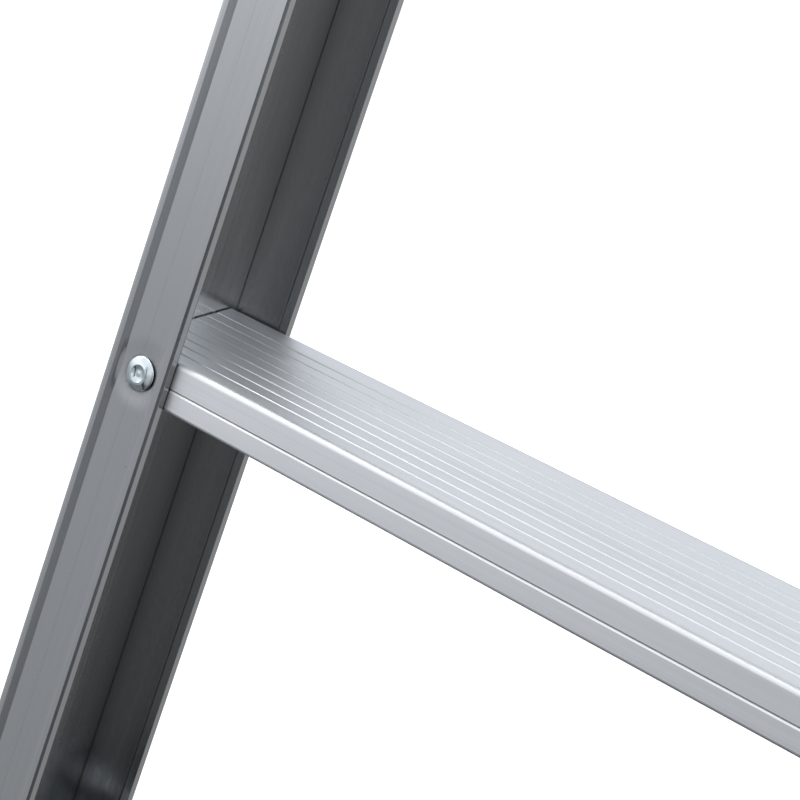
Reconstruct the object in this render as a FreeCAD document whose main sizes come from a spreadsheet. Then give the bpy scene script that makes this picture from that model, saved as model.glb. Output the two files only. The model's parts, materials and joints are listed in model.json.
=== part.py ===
import FreeCAD, Part
import math
import os

import Sketcher

# Two-section push-up extension ladder, drawn standing upright, in millimetres.
# X runs across the ladder, Y from the climber's side (-Y) to the wall side (+Y), Z up.
# The origin is on the floor, midway between the rails and midway between the two sections.
# The base section stands behind (+Y), the fly section slides up in front of it (-Y).

DIMENSIONS = {
    "tread_pitch": 280,
    "tread_count": 7,
    "tread_tilt": 15,
    "rail_depth": 71,
    "rail_width": 30.9,
    "rail_span": 450,
    "rail_foot": 34,
    "rail_overrun": 150,
    "web_wall": 1.6,
    "web_round": 1.2,
    "flange_wall": 3.0,
    "rim_width": 2.9,
    "rim_rise": 0.85,
    "ramp_width": 3.7,
    "crown_start": 25.55,
    "crown_step": 0.6,
    "crown_edge": 3,
    "bead_width": 4.0,
    "bead_wall": 3.65,
    "bead_rise": 0.2,
    "bead_drop": 0.5,
    "section_gap": 8,
    "rivet_inset": 17.3,
    "tread_wall": 1.8,
    "tread_below": 10.65,
    "tread_above": 9.87,
    "tread_nose": 2.7,
    "tread_heel": 3.9,
    "tread_edge_round": 1.1,
    "tread_end_gap": 0.8,
    "groove_count": 8,
    "groove_first": 8.05,
    "groove_pitch": 6.375,
    "groove_width": 1.1,
    "groove_depth": 0.5,
    "groove_crest": 0.2,
    "nose_slot_low": 1.87,
    "nose_slot_high": 0.79,
    "nose_slot_depth": 0.6,
    "fit_gap": 0.05,
    "overcut": 1,
    "shank_radius": 2.4,
    "rivet_head_radius": 7.2,
    "rivet_head_height": 2.1,
    "rivet_rise": 16,
    "rivet_cup_radius": 1.5,
    "rivet_cup_edge": 1.7,
    "rivet_bulge_step": 0.02,
    "rivet_bulge_length": 2.6,
    "rivet_tail": 4,
    "slide_gap": 0.4,
    "liner_wall": 2.4,
    "bracket_wall": 2.5,
    "bracket_height": 60,
    "bracket_bend": 0.5,
    "liner_round": 0.6,
    "lip_length": 9,
    "guide_drop": 74,
    "guide_tail": 62,
    "bolt_radius": 3,
    "bolt_chamfer": 0.5,
    "bolt_tail": 6.5,
    "guide_nut_across": 10,
    "guide_nut_height": 5,
    "fly_foot": 470,
    "fly_guide_foot": 478,
    "fly_travel": 840,
    "stop_height": 28,
    "stop_depth": 30,
    "stop_wall": 8,
    "stop_round": 4,
    "stop_gap": 0.4,
    "cap_plate": 4,
    "cap_side_lap": 0.4,
    "cap_face_lap": 1.0,
    "cap_round": 2,
    "cap_plug": 14,
    "plug_slack": 0.1,
    "plug_web_gap": 1.3,
    "plug_edge_gap": 0.6,
    "plug_wall": 2.5,
    "pivot_height": 58,
    "pivot_radius": 5,
    "pivot_head": 6,
    "pivot_tail": 9,
    "pivot_nut_across": 17,
    "pivot_nut_height": 7,
    "pivot_slack": 0.3,
    "spacer_wall": 3,
    "spacer_slack": 0.2,
    "cheek_wall": 3,
    "cheek_gap": 1,
    "cheek_half": 34,
    "cheek_shoulder": 4,
    "cheek_neck": 11.5,
    "cheek_neck_rise": 6,
    "cheek_eye": 13,
    "sole_front": 60,
    "sole_rear": 78,
    "sole_plate": 3,
    "sole_round": 5,
    "pad_height": 9,
    "pad_inset": 0.5,
    "pad_groove_first": 12,
    "pad_groove_width": 4,
    "pad_groove_depth": 2.5,
    "pad_groove_span": 110,
    "pad_groove_count": 11,
    "lock_height": 50,
    "lock_setback": 20,
    "lock_rivet_rise": 9,
    "lock_pin_radius": 4,
    "lock_pin_chamfer": 0.4,
    "lock_pin_start": 2.3,
    "lock_pin_bore": 5,
    "lock_pin_slack": 1.4,
    "lock_pin_head": 3,
    "lock_pin_crown": 2.4,
    "carrier_front": 16,
    "carrier_half": 17,
    "carrier_round": 3,
    "carrier_wall": 3,
    "carrier_nose": 2,
    "carrier_end_wall": 7,
    "carrier_bore": 8,
    "hook_wall": 8,
    "hook_hub": 10,
    "hook_gap": 2.3,
    "hook_lift": 4.6,
    "hook_lead": 9.5,
    "hook_back": 23,
    "hook_throat": 13,
    "hook_taper": 2,
    "hook_beak": 19,
    "hook_beak_width": 6,
    "hook_root_front": 6,
    "hook_root_low": 7.8,
    "hook_root_rear": 9,
    "hook_root_high": 4,
    "hook_fold": 120,
}

doc = FreeCAD.newDocument("extension_ladder")
sheet = doc.addObject("Spreadsheet::Sheet", "Dimensions")


class Size:
    """A length or ratio that knows its value and the spreadsheet expression it comes from."""

    def __init__(self, text, value):
        self.text = text
        self.value = value

    def join(self, other, sign, swap=False):
        other = other if isinstance(other, Size) else Size(repr(other), other)
        left, right = (other, self) if swap else (self, other)
        text = f"({left.text} {sign} {right.text})"
        results = {
            "+": lambda: left.value + right.value,
            "-": lambda: left.value - right.value,
            "*": lambda: left.value * right.value,
            "/": lambda: left.value / right.value,
        }
        return Size(text, results[sign]())

    def __add__(self, other):
        return self.join(other, "+")

    def __radd__(self, other):
        return self.join(other, "+", True)

    def __sub__(self, other):
        return self.join(other, "-")

    def __rsub__(self, other):
        return self.join(other, "-", True)

    def __mul__(self, other):
        return self.join(other, "*")

    def __rmul__(self, other):
        return self.join(other, "*", True)

    def __truediv__(self, other):
        return self.join(other, "/")

    def __neg__(self):
        return self.join(0, "-", True)

    def tangent(self):
        return Size(f"tan({self.text} * 1 deg)", math.tan(math.radians(self.value)))

    def cosine(self):
        return Size(f"cos({self.text} * 1 deg)", math.cos(math.radians(self.value)))

    def sine(self):
        return Size(f"sin({self.text} * 1 deg)", math.sin(math.radians(self.value)))


class Dimensions:
    """The driving dimensions, as Size values named like their spreadsheet aliases."""


def size(value):
    return value if isinstance(value, Size) else Size(repr(value), value)


def fill_sheet():
    dims = Dimensions()
    for row, (name, value) in enumerate(DIMENSIONS.items(), start=1):
        sheet.set(f"A{row}", name)
        sheet.set(f"B{row}", str(value))
        sheet.setAlias(f"B{row}", name)
        setattr(dims, name, Size(f"Dimensions.{name}", value))
    doc.recompute()
    return dims


d = fill_sheet()

# Derived places, all in the ladder's frame.
RAIL_OUTER = d.rail_span / 2
RIVET_LINE = RAIL_OUTER - d.rivet_inset
RAIL_FREE_EDGE = RAIL_OUTER - d.rail_width
BASE_FRONT = d.section_gap / 2
FLY_FRONT = -d.section_gap / 2 - d.rail_depth
BASE_TOP = d.tread_pitch * d.tread_count + d.rail_overrun
FLY_FIRST_TREAD = d.tread_pitch * 2
FLY_TOP = FLY_FIRST_TREAD + d.tread_pitch * (d.tread_count - 1) + d.rail_overrun
TREAD_DEPTH = d.rail_depth - d.bead_wall * 2 - d.fit_gap * 2
HOLE_RADIUS = d.shank_radius + d.fit_gap
BASE_GUIDE_FOOT = BASE_TOP - d.guide_drop
GUIDE_BOLTS_Y = (22, 52)
SIDES = {"left": -1, "right": 1}

# A set rivet's head and bulge, as shares of its head height and its head and shank radii.
CUP_FLOOR = 0.55
CUP_RIM = 0.9
CREST_RADIUS = 0.42
SHOULDER = (0.56, 0.86)
FLANGE_ROOT = (0.6, 0.72)
FLANGE_EDGE = (0.93, 0.3)
BULGE = 1.45

# Fastener heads, as shares of the shank radius.
COACH_HEAD = ((0, 2.2), (0.35, 2.1), (0.75, 1.5), (0.95, 0))
HEX_HEAD = 1.9
PIN_HEAD = 1.9
PIN_CROWN = 1.7
HEX_SIDES = 6


def at(x, y, z):
    return FreeCAD.Vector(float(x), float(y), float(z))


def plane(body, role):
    return next(f for f in body.Origin.OriginFeatures if f.Role == role)


def new_body(label):
    body = doc.addObject("PartDesign::Body", label)
    body.Label = label
    return body


def place(body, x, y, z, turn=0):
    """Puts a body at a place bound to the sheet, turned about Z by turn degrees."""
    body.Placement = FreeCAD.Placement(at(0, 0, 0), FreeCAD.Rotation(at(0, 0, 1), turn))
    for axis, value in zip("xyz", (x, y, z)):
        body.setExpression(f"Placement.Base.{axis}", size(value).text)


def new_sketch(body, role, name, offset=0, tilt=None, shift=None):
    """A sketch on one of the body's own origin planes, moved along its normal by offset."""
    sketch = body.newObject("Sketcher::SketchObject", f"{body.Name}_{name}")
    sketch.AttachmentSupport = [(plane(body, role), "")]
    sketch.MapMode = "FlatFace"
    turn = FreeCAD.Rotation(at(0, 0, 1), tilt.value if tilt else 0)
    sketch.AttachmentOffset = FreeCAD.Placement(at(0, 0, 0), turn)
    sketch.setExpression("AttachmentOffset.Base.z", size(offset).text)
    if shift:
        for axis, value in zip("xy", shift):
            sketch.setExpression(f"AttachmentOffset.Base.{axis}", size(value).text)
    return sketch


def pin_point(sketch, index, end, x, y):
    """Binds one end of a sketch element to coordinates that come from the sheet."""
    for kind, value, axis in (("DistanceX", size(x), -2), ("DistanceY", size(y), -1)):
        if abs(value.value) < 1e-9:
            sketch.addConstraint(Sketcher.Constraint("PointOnObject", index, end, axis))
            continue
        made = Sketcher.Constraint(kind, -1, 1, index, end, value.value)
        number = sketch.addConstraint(made)
        sketch.setExpression(f"Constraints[{number}]", value.text)


def outline(sketch, points):
    """A closed outline of straight lines whose corners are bound to the sheet."""
    first = sketch.GeometryCount
    count = len(points)
    for i, (x, y) in enumerate(points):
        nx, ny = points[(i + 1) % count]
        start = at(size(x).value, size(y).value, 0)
        end = at(size(nx).value, size(ny).value, 0)
        sketch.addGeometry(Part.LineSegment(start, end))
    for i in range(count):
        after = first + (i + 1) % count
        sketch.addConstraint(Sketcher.Constraint("Coincident", first + i, 2, after, 1))
    for i, (x, y) in enumerate(points):
        pin_point(sketch, first + i, 1, x, y)


def ring(sketch, x, y, radius):
    """A circle whose centre and radius are bound to the sheet."""
    x, y, radius = size(x), size(y), size(radius)
    circle = Part.Circle(at(x.value, y.value, 0), at(0, 0, 1), radius.value)
    index = sketch.addGeometry(circle)
    pin_point(sketch, index, 3, x, y)
    number = sketch.addConstraint(Sketcher.Constraint("Radius", index, radius.value))
    sketch.setExpression(f"Constraints[{number}]", radius.text)


def box_points(x_low, x_high, y_low, y_high):
    return [(x_low, y_low), (x_high, y_low), (x_high, y_high), (x_low, y_high)]


def pad(body, sketch, length, both=False, reverse=False):
    made = body.newObject("PartDesign::Pad", f"{sketch.Name}_pad")
    made.Profile = sketch
    made.SideType = "Symmetric" if both else "One side"
    made.Reversed = reverse
    made.setExpression("Length", size(length).text)
    doc.recompute()
    return made


def cut(body, sketch, length, reverse=False, both=False):
    """A pocket; it stops the build if it removes nothing."""
    before = body.Shape.Volume
    made = body.newObject("PartDesign::Pocket", f"{sketch.Name}_cut")
    made.Profile = sketch
    made.SideType = "Symmetric" if both else "One side"
    made.Reversed = reverse
    made.setExpression("Length", size(length).text)
    doc.recompute()
    if body.Shape.Volume >= before - 1e-3:
        raise RuntimeError(f"{made.Name} cuts nothing")
    return made


def repeat(body, feature, direction, span, count):
    """Repeats a feature evenly along a direction; span is first to last."""
    before = body.Shape.Volume
    made = body.newObject("PartDesign::LinearPattern", f"{feature.Name}_row")
    made.Originals = [feature]
    made.Direction = direction
    made.setExpression("Length", size(span).text)
    made.setExpression("Occurrences", size(count).text)
    body.Tip = made
    doc.recompute()
    if abs(body.Shape.Volume - before) < 1e-3:
        raise RuntimeError(f"{made.Name} repeats nothing")
    return made


def edges_near(shape, axis, spots):
    """Names of the edges that run along axis ('x', 'y' or 'z') and pass the given spots."""
    others = [name for name in "xyz" if name != axis]
    names = []
    for number, edge in enumerate(shape.Edges, start=1):
        if edge.Curve.TypeId != "Part::GeomLine":
            continue
        run = edge.Vertexes[-1].Point - edge.Vertexes[0].Point
        if any(abs(getattr(run, other)) > 1e-6 for other in others):
            continue
        here = edge.Vertexes[0].Point
        for spot in spots:
            gaps = [abs(getattr(here, o) - size(v).value) for o, v in zip(others, spot)]
            if max(gaps) < 1e-4:
                names.append(f"Edge{number}")
    return names


def round_edges(body, axis, spots, radius):
    base = body.Tip
    names = edges_near(base.Shape, axis, spots)
    if len(names) < len(spots):
        raise RuntimeError(f"{body.Label} has no edge to round at one of {len(spots)} spots")
    made = body.newObject("PartDesign::Fillet", f"{base.Name}_round{len(body.Group)}")
    made.Base = (base, names)
    made.setExpression("Radius", size(radius).text)
    doc.recompute()
    return made


def rail_outline():
    """The rail's C section, open towards +X: web at X 0, front land on Y 0."""
    ramp_end = d.rim_width + d.ramp_width
    bead_start = d.rail_width - d.bead_width
    crown_end = d.rail_width - d.crown_edge
    front = [
        (0, -d.rim_rise),
        (d.rim_width, -d.rim_rise),
        (ramp_end, 0),
        (d.crown_start, 0),
        (d.crown_start + d.crown_step, -d.bead_rise),
        (crown_end, -d.bead_rise),
        (d.rail_width, d.bead_drop),
        (d.rail_width, d.bead_wall),
        (bead_start, d.bead_wall),
        (bead_start, d.flange_wall),
        (d.web_wall, d.flange_wall),
    ]
    rear = [(x, d.rail_depth - y) for x, y in reversed(front)]
    return front + rear


def make_rail(label, side, front, foot, top, first_hole, web_holes):
    """One extruded rail, with its rivet holes in both flanges and its bolt holes in the web."""
    body = new_body(label)
    sketch = new_sketch(body, "XY_Plane", "section")
    outline(sketch, rail_outline())
    pad(body, sketch, top - foot)
    inner = [(d.web_wall, d.flange_wall), (d.web_wall, d.rail_depth - d.flange_wall)]
    round_edges(body, "z", inner, d.web_round)
    upwards = (plane(body, "Z_Axis"), [""])
    front_rises = (0, d.rivet_rise) if side < 0 else (d.rivet_rise, 0)
    for name, rise, offset, inwards in (
        ("front_hole", front_rises[0], 0, False),
        ("rear_hole", front_rises[1], -d.rail_depth, True),
    ):
        hole = new_sketch(body, "XZ_Plane", name, offset)
        ring(hole, d.rivet_inset, first_hole + rise, HOLE_RADIUS)
        drilled = cut(body, hole, d.bead_wall + d.overcut, reverse=inwards)
        repeat(body, drilled, upwards, d.tread_pitch * (d.tread_count - 1), d.tread_count)
    web = new_sketch(body, "YZ_Plane", "web_holes")
    for y, z, radius in web_holes:
        ring(web, y if side < 0 else d.rail_depth - y, z, radius)
    cut(body, web, (d.web_wall + d.overcut) * 2, both=True)
    turn = 0 if side < 0 else 180
    depth = front if side < 0 else front + d.rail_depth
    place(body, side * RAIL_OUTER, depth, foot, turn)
    return body


def guide_holes(foot_to_bolts, mirrored):
    """Web holes of one guide bracket, as (depth, height, radius) in the rail's own frame."""
    depths = [d.rail_depth - y if mirrored else size(y) for y in GUIDE_BOLTS_Y]
    return [(y, foot_to_bolts, d.bolt_radius + d.fit_gap) for y in depths]


def make_base_rail(label, side):
    guide = guide_holes(BASE_GUIDE_FOOT + d.bracket_height / 2 - d.rail_foot, False)
    pivot = (d.rail_depth / 2, d.pivot_height - d.rail_foot, d.pivot_radius + d.fit_gap)
    stops = [(d.rail_depth / 2, height - d.rail_foot, HOLE_RADIUS) for height in stop_centres()]
    first = d.tread_pitch - d.rail_foot
    web_holes = guide + [pivot] + stops
    return make_rail(label, side, BASE_FRONT, d.rail_foot, BASE_TOP, first, web_holes)


def make_fly_rail(label, side):
    guide = guide_holes(d.fly_guide_foot + d.bracket_height / 2 - d.fly_foot, True)
    lock = [
        (d.rail_depth - d.lock_setback + BASE_FRONT, FLY_FIRST_TREAD + height - d.fly_foot, HOLE_RADIUS)
        for height in (d.lock_height - d.lock_rivet_rise, d.lock_height + d.lock_rivet_rise)
    ]
    first = FLY_FIRST_TREAD - d.fly_foot
    return make_rail(label, side, FLY_FRONT, d.fly_foot, FLY_TOP, first, guide + lock)


def stop_centres():
    """Heights of the lower and upper travel stops on the base rails."""
    away = d.stop_gap + d.stop_height / 2
    lower = d.fly_guide_foot - away
    upper = d.fly_guide_foot + d.bracket_height + d.fly_travel + away
    return lower, upper


def make_tread(label, front, height):
    """A hollow ribbed flat tread, tilted so that it lies level when the ladder leans."""
    slope = d.tread_tilt.tangent()
    reach = TREAD_DEPTH
    wall = d.tread_wall
    low = -d.tread_below
    high = d.tread_above
    half = RAIL_OUTER - d.web_wall - d.tread_end_gap
    body = new_body(label)
    section = new_sketch(body, "YZ_Plane", "section")
    outline(
        section,
        [
            (0, low),
            (reach, low + reach * slope),
            (reach, high + reach * slope),
            (0, high),
            (0, -d.nose_slot_high),
            (d.nose_slot_depth, -(d.nose_slot_low + d.nose_slot_high) / 2),
            (0, -d.nose_slot_low),
        ],
    )
    middle = reach / 2
    for start, end in ((wall, middle - wall / 2), (middle + wall / 2, reach - wall)):
        outline(
            section,
            [
                (start, low + wall + start * slope),
                (end, low + wall + end * slope),
                (end, high - wall + end * slope),
                (start, high - wall + start * slope),
            ],
        )
    pad(body, section, half * 2, both=True)
    round_edges(body, "x", [(0, high)], d.tread_nose)
    round_edges(body, "x", [(reach, high + reach * slope)], d.tread_heel)
    round_edges(body, "x", [(0, low), (reach, low + reach * slope)], d.tread_edge_round)
    groove = new_sketch(body, "YZ_Plane", "groove", -half - d.overcut, d.tread_tilt, (0, high))
    spread = d.groove_width / 2
    outline(
        groove,
        [
            (d.groove_first - spread, d.groove_crest),
            (d.groove_first, -d.groove_depth),
            (d.groove_first + spread, d.groove_crest),
        ],
    )
    grooved = cut(body, groove, (half + d.overcut) * 2, reverse=True)
    along = (groove, ["H_Axis"])
    repeat(body, grooved, along, d.groove_pitch * (d.groove_count - 1), d.groove_count)
    for name, rise, offset, inwards in (
        ("front_holes", 0, 0, False),
        ("rear_holes", d.rivet_rise, -reach, True),
    ):
        holes = new_sketch(body, "XZ_Plane", name, offset)
        for side in SIDES.values():
            ring(holes, side * RIVET_LINE, rise, HOLE_RADIUS)
        cut(body, holes, wall * 2, reverse=inwards)
    place(body, 0, front + d.bead_wall + d.fit_gap, height)
    return body


def make_rivet(label, grip):
    """A blind rivet along +Y: domed flange head below Y 0, shank, and set bulge behind grip."""
    body = new_body(label)
    sketch = new_sketch(body, "XY_Plane", "section")
    head = d.rivet_head_radius
    rise = d.rivet_head_height
    outline(
        sketch,
        [
            (0, -rise * CUP_FLOOR),
            (d.rivet_cup_radius, -rise * CUP_FLOOR),
            (d.rivet_cup_edge, -rise * CUP_RIM),
            (head * CREST_RADIUS, -rise),
            (head * SHOULDER[0], -rise * SHOULDER[1]),
            (head * FLANGE_ROOT[0], -rise * FLANGE_ROOT[1]),
            (head * FLANGE_EDGE[0], -rise * FLANGE_EDGE[1]),
            (head, 0),
            (d.shank_radius, 0),
            (d.shank_radius, grip),
            (d.shank_radius * BULGE, grip + d.rivet_bulge_step),
            (d.shank_radius * BULGE, grip + d.rivet_bulge_length),
            (0, grip + d.rivet_tail),
        ],
    )
    turned = body.newObject("PartDesign::Revolution", f"{label}_turned")
    turned.Profile = sketch
    turned.ReferenceAxis = (sketch, ["V_Axis"])
    turned.Angle = 360
    doc.recompute()
    return body


def group(label, shapes):
    """One node that holds a set of identical fasteners as separate solids."""
    node = doc.addObject("Part::Feature", label)
    node.Label = label
    node.Shape = Part.makeCompound(shapes)
    return node


def moved(shape, x, y, z, axis=(0, 0, 1), turn=0):
    spot = at(size(x).value, size(y).value, size(z).value)
    copy = shape.copy()
    copy.Placement = FreeCAD.Placement(spot, FreeCAD.Rotation(at(*axis), turn))
    return copy


def tread_rivets(label, rivet, first, y, rise, turn):
    spots = []
    for step in range(DIMENSIONS["tread_count"]):
        for side in SIDES.values():
            height = first + d.tread_pitch * step + rise
            spots.append(moved(rivet.Shape, side * RIVET_LINE, y, height, (0, 0, 1), turn))
    return group(label, spots)


def make_bracket(label, side, facing, foot):
    """A bent steel guide: a plate bolted to its own rail, and a lip round the other one."""
    inner = RAIL_OUTER + d.slide_gap + d.liner_wall
    outer = inner + d.bracket_wall
    reach = d.section_gap / 2 + d.rail_depth + d.rim_rise + d.slide_gap + d.liner_wall
    lip = RAIL_OUTER - d.lip_length
    tail = d.section_gap / 2 + d.guide_tail
    body = new_body(label)
    sketch = new_sketch(body, "XY_Plane", "section")
    points = [
        (outer, -tail),
        (outer, reach + d.bracket_wall),
        (lip, reach + d.bracket_wall),
        (lip, reach),
        (inner, reach),
        (inner, -tail),
    ]
    outline(sketch, [(side * x, facing * y) for x, y in points])
    pad(body, sketch, d.bracket_height)
    bend = [(side * outer, facing * (reach + d.bracket_wall))]
    round_edges(body, "z", bend, d.bracket_wall)
    round_edges(body, "z", [(side * inner, facing * reach)], d.bracket_bend)
    holes = new_sketch(body, "YZ_Plane", "bolt_holes", side * (outer + d.overcut))
    for depth in GUIDE_BOLTS_Y:
        spot = -facing * (BASE_FRONT + depth)
        ring(holes, spot, d.bracket_height / 2, d.bolt_radius + d.fit_gap)
    cut(body, holes, d.bracket_wall + d.overcut * 2, reverse=side < 0)
    place(body, 0, 0, foot)
    return body


def make_liner(label, side, facing, foot):
    """The plastic liner inside a guide: it lines both lips and spaces the plate off the rail."""
    outer = RAIL_OUTER + d.slide_gap + d.liner_wall
    run = RAIL_OUTER + d.slide_gap
    far = d.section_gap / 2 + d.rail_depth + d.rim_rise + d.slide_gap
    near_face = d.section_gap / 2 - d.rim_rise - d.slide_gap
    own_face = -d.section_gap / 2 + d.rim_rise + d.fit_gap
    lip = RAIL_OUTER - d.lip_length
    tail = d.section_gap / 2 + d.guide_tail
    body = new_body(label)
    sketch = new_sketch(body, "XY_Plane", "section")
    points = [
        (outer, -tail),
        (outer, far + d.liner_wall),
        (lip, far + d.liner_wall),
        (lip, far),
        (run, far),
        (run, near_face),
        (lip, near_face),
        (lip, own_face),
        (RAIL_OUTER, own_face),
        (RAIL_OUTER, -tail),
    ]
    outline(sketch, [(side * x, facing * y) for x, y in points])
    pad(body, sketch, d.bracket_height)
    round_edges(body, "z", [(side * outer, facing * (far + d.liner_wall))], d.liner_round)
    holes = new_sketch(body, "YZ_Plane", "bolt_holes", side * (outer + d.overcut))
    for depth in GUIDE_BOLTS_Y:
        spot = -facing * (BASE_FRONT + depth)
        ring(holes, spot, d.bracket_height / 2, d.bolt_radius + d.fit_gap)
    cut(body, holes, d.liner_wall + d.slide_gap + d.overcut * 2, reverse=side < 0)
    place(body, 0, 0, foot)
    return body


def turned_body(label, points):
    """A body turned about the X axis from (distance along X, radius) points."""
    body = new_body(label)
    sketch = new_sketch(body, "XY_Plane", "section")
    outline(sketch, points)
    turned = body.newObject("PartDesign::Revolution", f"{label}_turned")
    turned.Profile = sketch
    turned.ReferenceAxis = (sketch, ["H_Axis"])
    turned.Angle = 360
    doc.recompute()
    return body


def make_guide_bolt(label):
    """Domed coach bolt along -X, its head's underside at X 0."""
    grip = d.bracket_wall + d.liner_wall + d.slide_gap + d.web_wall
    radius = d.bolt_radius
    end = grip + d.bolt_tail
    shank = [(-end, 0), (-end, radius - d.bolt_chamfer), (d.bolt_chamfer - end, radius), (0, radius)]
    head = [(radius * rise, radius * reach) for rise, reach in COACH_HEAD]
    return turned_body(label, shank + head)


def hexagon(corner, first_angle):
    """Six points at a distance from the middle, the first at an angle in degrees."""
    angles = [size(first_angle + 360 // HEX_SIDES * number) for number in range(HEX_SIDES)]
    return [(corner * angle.cosine(), corner * angle.sine()) for angle in angles]


def make_nut(label, bore, across, height):
    """A hexagon nut along -X from X 0, with a clearance bore."""
    body = new_body(label)
    sketch = new_sketch(body, "YZ_Plane", "section")
    half_corner = 180 // HEX_SIDES
    outline(sketch, hexagon(across / 2 / size(half_corner).cosine(), half_corner))
    ring(sketch, 0, 0, bore)
    pad(body, sketch, height, reverse=True)
    return body


def guide_fasteners(label, shape, x, facing, foot):
    """The two bolts, or the two nuts, of both guides of one section."""
    spots = []
    for side in SIDES.values():
        for depth in GUIDE_BOLTS_Y:
            y = -facing * (BASE_FRONT + depth)
            turn = 0 if side > 0 else 180
            height = foot + d.bracket_height / 2
            spots.append(moved(shape, side * x, y, height, (0, 0, 1), turn))
    return group(label, spots)


def make_cap(label, side, front, height, up):
    """A moulded end cap: a cover plate on the rail's end and a plug inside its channel."""
    body = new_body(label)
    plate = new_sketch(body, "XY_Plane", "plate")
    sides = (-d.cap_side_lap, d.rail_width + d.cap_side_lap)
    faces = (-d.cap_face_lap, d.rail_depth + d.cap_face_lap)
    outline(plate, box_points(*sides, *faces))
    pad(body, plate, d.cap_plate, reverse=not up)
    round_edges(body, "z", [(x, y) for x in sides for y in faces], d.cap_round)
    plug = new_sketch(body, "XY_Plane", "plug")
    low_x = d.web_wall + d.plug_web_gap
    high_x = d.rail_width - d.plug_edge_gap
    low_y = d.bead_wall + d.plug_slack
    high_y = d.rail_depth - low_y
    wall = d.plug_wall
    outline(plug, box_points(low_x, high_x, low_y, high_y))
    outline(plug, box_points(low_x + wall, high_x - wall, low_y + wall, high_y - wall))
    pad(body, plug, d.cap_plug, reverse=up)
    turn = 0 if side < 0 else 180
    depth = front if side < 0 else front + d.rail_depth
    place(body, side * RAIL_OUTER, depth, height, turn)
    return body


def make_stop(label, side, centre):
    """A travel stop riveted to the outside of a base rail."""
    body = new_body(label)
    sketch = new_sketch(body, "YZ_Plane", "section")
    deep = d.stop_depth / 2
    tall = d.stop_height / 2
    outline(sketch, box_points(-deep, deep, -tall, tall))
    ring(sketch, 0, 0, HOLE_RADIUS)
    pad(body, sketch, d.stop_wall, reverse=side < 0)
    corners = [(y, z) for y in (-deep, deep) for z in (-tall, tall)]
    round_edges(body, "x", corners, d.stop_round)
    place(body, side * (RAIL_OUTER + d.fit_gap), BASE_FRONT + d.rail_depth / 2, centre)
    return body


def rivet_row(label, rivet, spots):
    """Rivets along X: each spot is (side, x, y, z), head outwards when x is outside."""
    shapes = []
    for side, x, y, z in spots:
        turn = 90 if side > 0 else -90
        shapes.append(moved(rivet.Shape, side * x, y, z, (0, 0, 1), turn))
    return group(label, shapes)


def make_shoe(label, side):
    """The swivel shoe: a steel sole plate with two cheeks that straddle the rail."""
    outer = RAIL_OUTER + d.cheek_gap
    inner = RAIL_FREE_EDGE - d.cheek_gap
    pivot_y = BASE_FRONT + d.rail_depth / 2
    floor = d.pad_height - d.pivot_height
    top = floor + d.sole_plate
    body = new_body(label)
    sole = new_sketch(body, "XY_Plane", "sole", floor)
    low_x = inner - d.cheek_wall
    high_x = outer + d.cheek_wall
    edges = box_points(low_x, high_x, -pivot_y - d.sole_front, d.sole_rear - pivot_y)
    outline(sole, [(side * x, y) for x, y in edges])
    pad(body, sole, d.sole_plate)
    for name, start in (("outer_cheek", outer), ("inner_cheek", low_x)):
        cheek = new_sketch(body, "YZ_Plane", name, side * start)
        rear_half = [
            (d.cheek_half, floor),
            (d.cheek_half, top + d.cheek_shoulder),
            (d.cheek_neck, d.cheek_neck_rise),
        ]
        outline(cheek, rear_half + [(-y, z) for y, z in reversed(rear_half)])
        pad(body, cheek, d.cheek_wall, reverse=side < 0)
        eye = new_sketch(body, "YZ_Plane", f"{name}_eye", side * start)
        ring(eye, 0, 0, d.cheek_eye)
        pad(body, eye, d.cheek_wall, reverse=side < 0)
    bore = new_sketch(body, "YZ_Plane", "bore", side * (low_x - d.overcut))
    ring(bore, 0, 0, d.pivot_radius + d.fit_gap)
    cut(body, bore, high_x - low_x + d.overcut * 2, reverse=side > 0)
    ends = [
        (side * x, y)
        for x in (low_x, high_x)
        for y in (-pivot_y - d.sole_front, d.sole_rear - pivot_y)
    ]
    round_edges(body, "z", ends, d.sole_round)
    place(body, 0, pivot_y, d.pivot_height)
    return body


def make_pad(label, side):
    """The rubber tread pad under a shoe, grooved across its sole."""
    inner = RAIL_FREE_EDGE - d.cheek_gap - d.cheek_wall
    outer = RAIL_OUTER + d.cheek_gap + d.cheek_wall
    across = [side * (inner + d.pad_inset), side * (outer - d.pad_inset)]
    along = [d.pad_inset - d.sole_front, d.sole_rear - d.pad_inset]
    body = new_body(label)
    block = new_sketch(body, "XY_Plane", "block")
    outline(block, box_points(*across, *along))
    pad(body, block, d.pad_height)
    round_edges(body, "z", [(x, y) for x in across for y in along], d.sole_round)
    groove = new_sketch(body, "YZ_Plane", "groove", side * (inner - d.overcut))
    start = d.pad_groove_first - d.sole_front
    outline(groove, box_points(start, start + d.pad_groove_width, -d.overcut, d.pad_groove_depth))
    grooved = cut(body, groove, outer - inner + d.overcut * 2, reverse=side > 0)
    rearwards = (plane(body, "Y_Axis"), [""])
    repeat(body, grooved, rearwards, d.pad_groove_span, d.pad_groove_count)
    place(body, 0, 0, 0)
    return body


def make_pivot_bolt(label):
    """Shoe pivot bolt along -X: hexagon head outside, its underside at X 0."""
    length = d.rail_width + (d.cheek_gap + d.cheek_wall) * 2 + d.pivot_tail + d.overcut
    body = new_body(label)
    shank = new_sketch(body, "YZ_Plane", "shank", -length)
    ring(shank, 0, 0, d.pivot_radius)
    pad(body, shank, length)
    head = new_sketch(body, "YZ_Plane", "head")
    outline(head, hexagon(d.pivot_radius * HEX_HEAD, 0))
    pad(body, head, d.pivot_head)
    return body


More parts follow.
